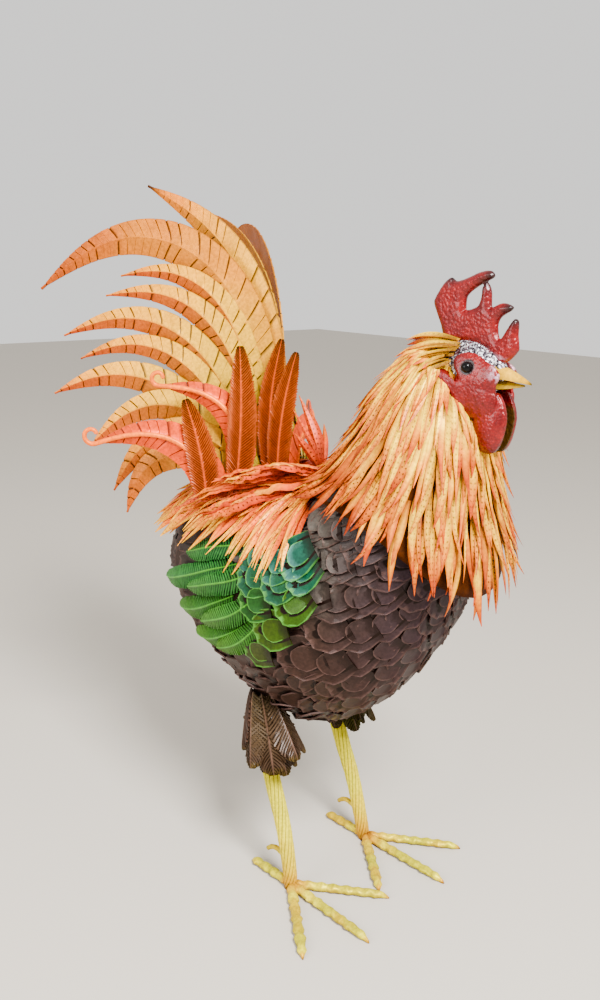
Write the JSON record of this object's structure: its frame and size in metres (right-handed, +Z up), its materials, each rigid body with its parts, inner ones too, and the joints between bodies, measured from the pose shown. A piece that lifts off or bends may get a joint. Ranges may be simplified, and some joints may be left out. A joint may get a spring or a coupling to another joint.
{
  "type": "scrap metal rooster sculpture",
  "caption": "Standing rooster sculpture of painted sheet steel with scaled body, long feather cape, arching sickle tail, red comb and twisted yellow legs.",
  "frame": {"origin": "on the floor under the middle of the whole rooster's box", "axes": "+Z up, the rooster looks along -Y, its right side is -X"},
  "size_m": [0.5637, 0.9239, 1.1662],
  "materials": {
    "scale_paint": "bronze brown paint, satin",
    "hackle_paint": "yellow to orange lacquer, satin",
    "saddle_paint": "salmon to yellow lacquer, satin",
    "wing_paint": "teal to yellow-green lacquer, satin",
    "sickle_paint": "orange to yellow lacquer, satin",
    "leaf_paint": "rust orange lacquer, satin",
    "red_paint": "hammered red lacquer, semi-gloss",
    "yellow_paint": "yellow lacquer with olive shading, satin",
    "silver_paint": "scratched bare metal, satin",
    "thigh_paint": "dark bronze brown paint, satin",
    "eye_gloss": "black, glossy"
  },
  "bodies": {
    "root": {"body": "scale_paint", "neck_hackle": "hackle_paint", "skull": "silver_paint", "comb": "red_paint", "beak_upper": "yellow_paint", "beak_lower": "yellow_paint", "saddle_right": "saddle_paint", "wing_right": "wing_paint", "face_right": "red_paint", "eye_right": "eye_gloss", "tail_top_right": "sickle_paint", "tail_sickle_right": "sickle_paint", "tail_cover_1_right": "sickle_paint", "tail_cover_2_right": "sickle_paint", "tail_cover_3_right": "sickle_paint", "tail_cover_4_right": "sickle_paint", "tail_cover_5_right": "sickle_paint", "tail_cover_6_right": "sickle_paint", "tail_cover_7_right": "sickle_paint", "tail_cover_8_right": "sickle_paint", "tail_curl_upper_right": "sickle_paint", "tail_curl_lower_right": "sickle_paint", "leg_right": "yellow_paint", "spur_right": "yellow_paint", "thigh_right": "thigh_paint", "toe_inner_right": "yellow_paint", "toe_middle_right": "yellow_paint", "toe_outer_right": "yellow_paint", "toe_back_right": "yellow_paint", "saddle_left": "saddle_paint", "wing_left": "wing_paint", "face_left": "red_paint", "eye_left": "eye_gloss", "tail_top_left": "sickle_paint", "tail_sickle_left": "sickle_paint", "tail_cover_1_left": "sickle_paint", "tail_cover_2_left": "sickle_paint", "tail_cover_3_left": "sickle_paint", "tail_cover_4_left": "sickle_paint", "tail_cover_5_left": "sickle_paint", "tail_cover_6_left": "sickle_paint", "tail_cover_7_left": "sickle_paint", "tail_cover_8_left": "sickle_paint", "tail_curl_upper_left": "sickle_paint", "tail_curl_lower_left": "sickle_paint", "leg_left": "yellow_paint", "spur_left": "yellow_paint", "thigh_left": "thigh_paint", "toe_inner_left": "yellow_paint", "toe_middle_left": "yellow_paint", "toe_outer_left": "yellow_paint", "toe_back_left": "yellow_paint", "tail_leaf_1": "leaf_paint", "tail_leaf_2": "leaf_paint", "tail_leaf_3": "leaf_paint", "tail_leaf_4": "leaf_paint"}
  },
  "joints": []
}
